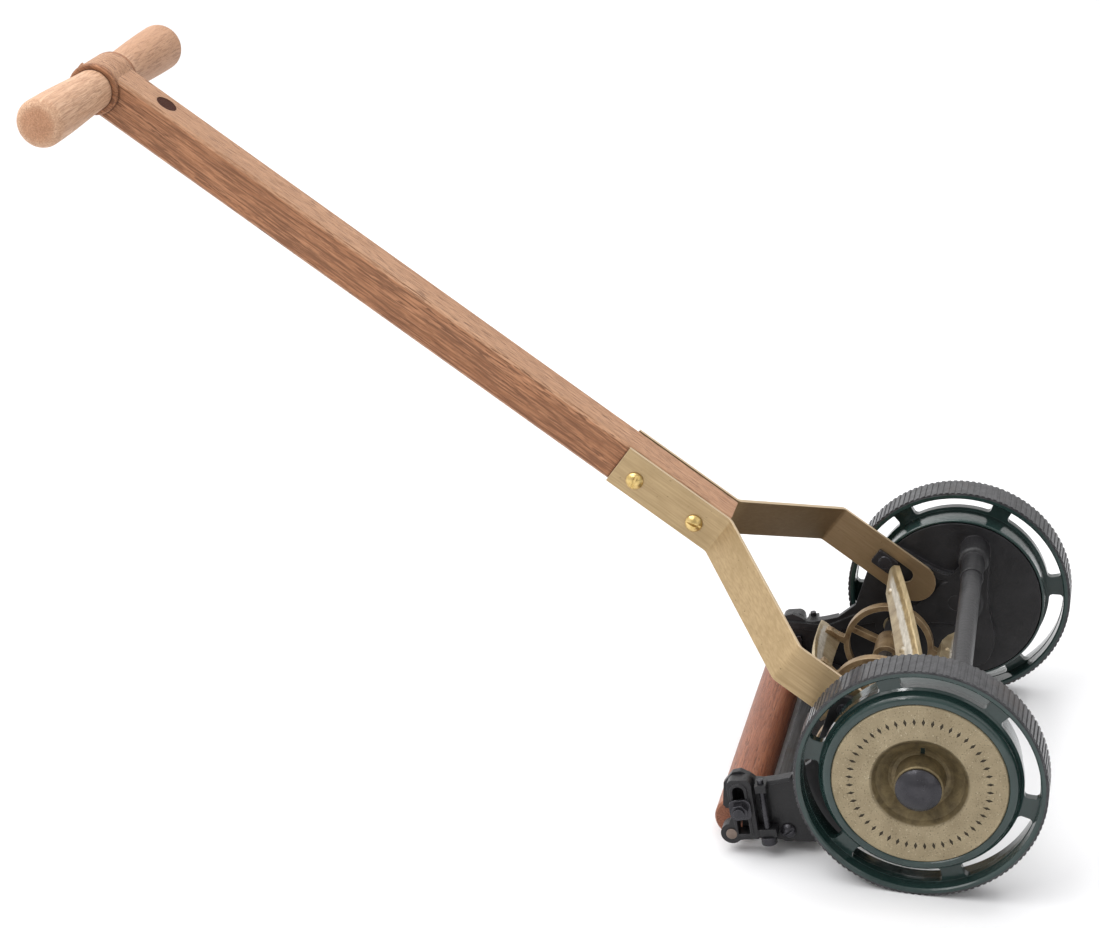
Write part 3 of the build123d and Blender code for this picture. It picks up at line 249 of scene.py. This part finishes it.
def black_iron(name, low, high):
    """Near-black japanned castings: soft cast texture, edges rubbed brighter."""
    g = Graph(name, coat=0.12, specular=0.28)
    where = g.place()
    cloud = g.noise(where, 90.0, 5.0)
    shade = g.ramp(cloud, (0.3, low), (0.75, high))
    worn = g.step(g.noise(where, 260.0, 6.0, 0.7), 0.64, 0.74)
    shade = g.mix(g.times(worn, 0.4), shade, (0.05, 0.046, 0.045))
    rubbed = g.times(g.edges(0.0007), g.step(g.noise(where, 200.0, 5.0), 0.40, 0.62))
    g.colour(g.mix(g.times(rubbed, 0.5), shade, (0.10, 0.098, 0.105)))
    g.rough(g.blend(cloud, 0.32, 0.54))
    g.bump(g.noise(where, 620.0, 5.0, 0.6), 0.00028, 0.9, rounded=0.0009)
    return g.material


def steel(name, low, high, smooth, coarse):
    """Oiled or blued steel, cloudy, with bright rubbed edges."""
    g = Graph(name, metallic=0.6)
    where = g.place()
    cloud = g.noise(where, 130.0, 5.0)
    shade = g.ramp(cloud, (0.3, low), (0.75, high))
    g.colour(g.mix(g.times(g.edges(0.0004), 0.35), shade, (0.22, 0.22, 0.24)))
    g.rough(g.blend(cloud, smooth, coarse))
    g.bump(g.noise(where, 900.0, 4.0), 0.00014, 0.7, rounded=0.0004)
    return g.material


def bright_steel():
    """Plain ground steel, dulled by handling."""
    g = Graph("bright_steel", metallic=0.9)
    lines = g.place(scale=(1.0, 0.04, 1.0))
    streak = g.noise(lines, 1500.0, 4.0)
    cloud = g.noise(g.place(), 90.0, 5.0)
    bright = g.ramp(streak, (0.3, (0.075, 0.074, 0.078)), (0.7, (0.145, 0.142, 0.148)))
    g.colour(g.mix(g.times(g.step(cloud, 0.5, 0.72), 0.5), bright, (0.08, 0.06, 0.048)))
    g.rough(g.blend(streak, 0.26, 0.44))
    g.bump(streak, 0.00006, 0.5, rounded=0.0003)
    return g.material


def disc_brass():
    """Aged khaki brass of the wheel discs: flecked face, browner dish, dark punched marks."""
    g = Graph("disc_brass", metallic=0.55)
    where = g.place()
    cloud = g.noise(where, 85.0, 6.0, 0.6)
    base = g.ramp(cloud, (0.3, (0.235, 0.188, 0.114)), (0.72, (0.345, 0.283, 0.180)))
    fleck = g.step(g.noise(where, 1250.0, 2.0, 0.5), 0.60, 0.68)
    base = g.mix(g.times(fleck, 0.65), base, (0.105, 0.083, 0.050))
    glint = g.step(g.noise(g.place((0.01, 0, 0)), 1500.0, 2.0, 0.5), 0.66, 0.72)
    base = g.mix(g.times(glint, 0.55), base, (0.62, 0.56, 0.42))
    out = g.radius(WHEEL_X, WHEEL_R)
    dish = g.inverse(g.beyond(out, DISH_R, 0.00055))
    patina = g.noise(where, 190.0, 6.0, 0.65, 0.6)
    bowl = g.ramp(patina, (0.32, (0.060, 0.042, 0.018)), (0.7, (0.20, 0.150, 0.070)))
    base = g.mix(g.times(dish, 0.85), base, bowl)
    base = g.mix(g.times(g.edges(0.0004), 0.35), base, (0.60, 0.52, 0.34))
    aside = g.math("ABSOLUTE", g.split(where)[1])
    sunk = g.inverse(g.beyond(aside, DISC_FACE_Y - MARK_DEPTH, 0.0001))
    inside = g.inverse(g.beyond(out, MARKS_OUT_R, 0.00025))
    marks = g.times(sunk, g.beyond(out, MARKS_IN_R, 0.00025), inside)
    g.colour(g.mix(g.times(marks, 0.92), base, (0.022, 0.016, 0.011)))
    g.rough(g.blend(patina, 0.42, 0.62))
    g.bump(g.noise(where, 1100.0, 4.0, 0.6), 0.00012, 0.7, rounded=0.0003)
    return g.material


def strap_brass():
    """Rolled brass strip, streaked lengthwise, painted shade inwards, edges rubbed bright, painted
    highlight on top.
    """
    g = Graph("strap_brass", metallic=0.72)
    lines = g.place(STUD, ALONG_HANDLE, (0.05, 0.3, 1.0))
    streak = g.noise(lines, 1100.0, 4.0)
    where = g.place()
    cloud = g.noise(where, 60.0, 6.0, 0.6)
    bright = g.ramp(streak, (0.3, (0.335, 0.236, 0.124)), (0.7, (0.455, 0.332, 0.184)))
    dull = g.mix(g.times(g.step(cloud, 0.40, 0.68), 0.6), bright, (0.33, 0.235, 0.12))
    spots = g.step(g.noise(where, 520.0, 4.0, 0.6), 0.66, 0.72)
    dull = g.mix(g.times(spots, 0.5), dull, (0.11, 0.075, 0.038))
    normal = g.split(g.node("ShaderNodeNewGeometry").outputs["Normal"])
    # painted shade: faces turned towards the middle plane are darkened browner
    inward = g.times(normal[1], g.split(where)[1], -1.0)
    dull = g.mix(g.times(g.step(inward, 0.004, 0.012), 0.55), dull, (0.150, 0.092, 0.050))
    # painted highlight: up-facing faces brightened; rubbed below carries both the rubbed edges and this
    # painted highlight
    painted_top_highlight = g.times(g.step(normal[2], 0.62, 0.78), 0.7)
    rubbed = g.math("MAXIMUM", g.times(g.edges(0.0005), 0.7), painted_top_highlight)
    g.colour(g.mix(rubbed, dull, (0.66, 0.52, 0.35)))
    g.rough(g.blend(cloud, 0.34, 0.52))
    g.bump(g.noise(where, 1000.0, 4.0), 0.00008, 0.5, rounded=0.0003)
    return g.material


def screw_brass():
    """Clean yellow brass of the strap screws."""
    g = Graph("screw_brass", metallic=0.9)
    cloud = g.noise(g.place(), 300.0, 5.0)
    g.colour(g.ramp(cloud, (0.3, (0.50, 0.34, 0.11)), (0.7, (0.74, 0.55, 0.24))))
    g.rough(g.blend(cloud, 0.20, 0.38))
    g.bump(cloud, 0.0001, 0.4, rounded=0.0003)
    return g.material


def blade_brass():
    """Cast blade: rough at the root, ground grey-white further out, brassy on its land and ends."""
    g = Graph("blade_brass", metallic=0.6)
    where = g.place()
    along = g.place(scale=(1.0, 0.12, 1.0))
    cloud = g.noise(where, 130.0, 6.0, 0.65)
    rubs = g.noise(along, 700.0, 5.0, 0.6)
    wander = g.times(g.math("SUBTRACT", cloud, 0.5), 0.0016)
    out = g.math("ADD", g.radius(REEL_X, REEL_Z), wander)
    cast = g.ramp(cloud, (0.3, (0.20, 0.145, 0.080)), (0.7, (0.42, 0.34, 0.22)))
    ground = g.ramp(rubs, (0.3, (0.36, 0.32, 0.26)), (0.7, (0.62, 0.58, 0.50)))
    land = g.ramp(rubs, (0.3, (0.34, 0.25, 0.13)), (0.7, (0.56, 0.45, 0.27)))
    streak = g.ramp(rubs, (0.3, (0.17, 0.115, 0.050)), (0.7, (0.34, 0.25, 0.12)))
    face = g.mix(g.beyond(out, BLADE_GROUND_R, 0.0006), cast, ground)
    face = g.mix(g.beyond(out, BLADE_STREAK_R, 0.0004), face, streak)
    face = g.mix(g.beyond(out, BLADE_LAND_R, 0.0002), face, land)
    end = g.beyond(g.math("ABSOLUTE", g.split(where)[1]), BLADE_END_Y, 0.0040)
    face = g.mix(g.times(end, 0.8), face, g.mix(0.5, cast, land))
    g.colour(g.mix(g.times(g.edges(0.0004), 0.35), face, (0.85, 0.74, 0.50)))
    g.rough(g.blend(cloud, 0.36, 0.58))
    g.bump(g.noise(where, 650.0, 6.0, 0.65), 0.00035, 0.8, rounded=0.0004)
    return g.material


def spider_brass():
    """Brownish as-cast brass of the reel's spiders, brighter where rubbed."""
    g = Graph("spider_brass", metallic=0.6)
    where = g.place()
    cloud = g.noise(where, 160.0, 6.0, 0.65)
    base = g.ramp(cloud, (0.3, (0.16, 0.10, 0.052)), (0.72, (0.38, 0.27, 0.15)))
    g.colour(g.mix(g.times(g.edges(0.0008), 0.7), base, (0.66, 0.52, 0.34)))
    g.rough(g.blend(cloud, 0.34, 0.54))
    g.bump(g.noise(where, 600.0, 5.0, 0.6), 0.0003, 0.8, rounded=0.0005)
    return g.material


def wood(
    name, origin, turn, tones, pore, pore_share, rough, side_y=None, side_shade_and_end_grain=0.0, painted_far_shade=0.0, shine=0.3
):
    """Open-grained wood: slow bands, fibres and short dark pores, all running along local X.

    Beyond side_y from the middle plane the wood is browner, with its pores more open: painted shade on
    the shaft's sides, darker end grain on the crossbar's ends. Given a far weight, painted shade
    darkens the half on the mower's left.
    """
    g = Graph(name, specular=shine)
    where = g.place(origin, turn)

    def stretched(share):
        return g.vector("MULTIPLY", where, (share, 1.0, 1.0))[0]

    rings = g.noise(stretched(0.05), 150.0, 3.0, 0.5, 0.8)
    fibre = g.noise(stretched(0.035), 1500.0, 5.0, 0.6)
    coarse = g.step(g.noise(stretched(0.08), 1500.0, 2.0, 0.5), 0.54, 0.62)
    finer = g.step(g.noise(stretched(0.07), 2700.0, 2.0, 0.5), 0.54, 0.64)
    bands = g.step(rings, 0.40, 0.60)
    pores = g.times(coarse, g.blend(bands, 0.35, 1.0))
    pores = g.math("MAXIMUM", pores, g.times(finer, g.blend(bands, 0.6, 0.45)))
    low, middle, high = tones
    base = g.ramp(rings, (0.3, low), (0.5, middle), (0.7, high))
    base = g.mix(0.6, base, g.ramp(fibre, (0.34, low), (0.66, high)))
    # painted shade on the shaft's sides, browner and with more open pores; on the crossbar's ends the
    # darker colour is end grain
    if side_y:
        beside = g.step(g.math("ABSOLUTE", g.split(g.place())[1]), side_y - 0.0006, side_y)
        side_shade_and_end_grain_colour = g.mix(1.0, base, (0.88, 0.73, 0.63), blend="MULTIPLY")
        base = g.mix(g.times(beside, side_shade_and_end_grain), base, side_shade_and_end_grain_colour)
        streaks = g.step(g.noise(stretched(0.035), 1300.0, 4.0, 0.6), 0.47, 0.60)
        pores = g.math("MAXIMUM", pores, g.times(streaks, beside, 0.85))
    # painted shade: the half on the mower's left darkened towards the low tone
    if painted_far_shade:
        far = g.step(g.split(g.place())[1], 0.006, 0.030)
        base = g.mix(g.times(far, painted_far_shade), base, low)
    base = g.mix(g.times(pores, pore_share), base, pore)
    base = g.mix(g.times(g.edges(0.0005), 0.25), base, high)
    # painted shade: seams and corners narrower than the reach are darkened
    crevice_shade = g.mix(1.0, base, (0.22, 0.15, 0.12), blend="MULTIPLY")
    g.colour(g.mix(g.crevice(0.0016), base, crevice_shade))
    g.rough(g.blend(fibre, rough - 0.08, rough + 0.1))
    height = g.math("SUBTRACT", g.times(fibre, 0.5), pores)
    g.bump(height, 0.00018, 0.8, rounded=0.0005)
    return g.material


OAK_TONES = ((0.30, 0.150, 0.078), (0.42, 0.225, 0.125), (0.55, 0.325, 0.200))
CROSSBAR_TONES = ((0.41, 0.220, 0.125), (0.56, 0.335, 0.210), (0.68, 0.450, 0.305))
PLUG_TONES = ((0.036, 0.010, 0.006), (0.056, 0.018, 0.011), (0.080, 0.030, 0.019))
ROLLER_TONES = ((0.15, 0.048, 0.024), (0.24, 0.082, 0.042), (0.36, 0.150, 0.085))
OAK_PORE = (0.110, 0.043, 0.020)
CROSSBAR_PORE = (0.27, 0.130, 0.070)
PLUG_PORE = (0.012, 0.006, 0.005)
ROLLER_PORE = (0.055, 0.018, 0.010)
MATERIALS = {
    "green_paint": green_enamel(),
    "black_iron": black_iron("black_iron", (0.0090, 0.0086, 0.0096), (0.0195, 0.0188, 0.0202)),
    "dark_steel": steel("dark_steel", (0.025, 0.0245, 0.029), (0.050, 0.048, 0.054), 0.18, 0.32),
    "worn_steel": steel("worn_steel", (0.10, 0.075, 0.060), (0.26, 0.20, 0.165), 0.3, 0.5),
    "bright_steel": bright_steel(),
    "disc_brass": disc_brass(),
    "strap_brass": strap_brass(),
    "screw_brass": screw_brass(),
    "blade_brass": blade_brass(),
    "spider_brass": spider_brass(),
    "oak": wood(
        "oak_shaft", STUD, ALONG_HANDLE, OAK_TONES, OAK_PORE,
        pore_share=0.8, rough=0.55, side_y=SHAFT_SIDE_Y, side_shade_and_end_grain=1.0,
    ),
    "oak_crossbar": wood(
        "oak_crossbar", STUD, ACROSS, CROSSBAR_TONES, CROSSBAR_PORE,
        pore_share=0.6, rough=0.55, side_y=CROSSBAR_END_Y, side_shade_and_end_grain=0.8, painted_far_shade=0.7,
    ),
    "dark_wood": wood(
        "plug_wood", STUD, UPRIGHT, PLUG_TONES, PLUG_PORE, pore_share=0.6, rough=0.6, shine=0.08
    ),
    "roller_wood": wood(
        "roller_wood", (0, 0, 0), ACROSS, ROLLER_TONES, ROLLER_PORE, pore_share=0.6, rough=0.42
    ),
}
# the tie rod is a lighter grey than the castings, though its slot is the same
ROD_IRON = black_iron("rod_iron", (0.013, 0.0125, 0.0138), (0.029, 0.028, 0.030))

for entry in frame["record"]["subparts"]:
    obj = nodes[entry["node"]]
    finish = MATERIALS[entry["material_slot"]]
    if entry["node"] == "tie_rod":
        finish = ROD_IRON
    obj.data.materials.clear()
    obj.data.materials.append(finish)

# ---- floor ----
FLOOR_REACH = 12.0
corners = [(FLOOR_REACH * x, FLOOR_REACH * y, 0) for x, y in ((-1, -1), (1, -1), (1, 1), (-1, 1))]
floor_mesh = bpy.data.meshes.new("floor")
floor_mesh.from_pydata(corners, [], [(0, 1, 2, 3)])
floor = bpy.data.objects.new("floor", floor_mesh)
bpy.context.scene.collection.objects.link(floor)
paper = Graph("paper", roughness=0.85)
paper.colour((0.78, 0.78, 0.79, 1.0))
floor_mesh.materials.append(paper.material)

# ---- studio light: bright towards BRIGHT_SIDE, dim away from it, changing between two cosines ----
BRIGHT_SIDE = (-0.72, 0.42, 0.55)
DIM, BRIGHT = 0.22, 1.35
DIM_COSINE, BRIGHT_COSINE = -0.7, 0.9
world = bpy.data.worlds.new("studio")
bpy.context.scene.world = world
world.use_nodes = True
sky = world.node_tree
toward = sky.nodes.new("ShaderNodeVectorMath")
toward.operation = "DOT_PRODUCT"
sky.links.new(sky.nodes.new("ShaderNodeTexCoord").outputs["Generated"], toward.inputs[0])
toward.inputs[1].default_value = Vector(BRIGHT_SIDE).normalized()
spread = sky.nodes.new("ShaderNodeMapRange")
spread.inputs["From Min"].default_value = DIM_COSINE
spread.inputs["From Max"].default_value = BRIGHT_COSINE
spread.inputs["To Min"].default_value = DIM
spread.inputs["To Max"].default_value = BRIGHT
sky.links.new(toward.outputs["Value"], spread.inputs["Value"])
sky.links.new(spread.outputs["Result"], sky.nodes["Background"].inputs["Strength"])
sky.nodes["Background"].inputs["Color"].default_value = (1.0, 1.0, 1.0, 1.0)


def aimed(obj, at, aim):
    """Put a light or camera at one point, looking at another."""
    bpy.context.scene.collection.objects.link(obj)
    obj.location = at
    obj.rotation_euler = (Vector(aim) - Vector(at)).to_track_quat("-Z", "Y").to_euler()


def softbox(name, at, side, power):
    """Square area light aimed at the middle of the mower."""
    light = bpy.data.lights.new(name, "AREA")
    light.shape = "RECTANGLE"
    light.size = light.size_y = side
    light.energy = power
    aimed(bpy.data.objects.new(name, light), at, (0.0, 0.0, 0.1))


softbox("key", (-0.9, -0.5, 1.7), 1.4, 22.0)
softbox("fill", (1.3, -1.4, 0.9), 1.2, 4.5)
softbox("top", (0.2, 0.6, 2.0), 2.0, 14.0)
softbox("left_lamp", (-0.5, -1.3, 1.5), 0.16, 3.0)
softbox("right_lamp", (0.9, 0.2, 1.8), 0.14, 2.0)

# ---- camera: on the mower's right, above and a little in front of the axle ----
camera = bpy.data.cameras.new("camera")
camera.sensor_width = 36.0
camera.lens = 83.89
camera.clip_start = 0.01
view = bpy.data.objects.new("camera", camera)
aimed(view, (WHEEL_X + 0.0644, -1.0610, 0.6007), (WHEEL_X - 0.1849, 0.0, 0.14135))
bpy.context.scene.camera = view
bpy.context.scene.view_settings.view_transform = "Standard"
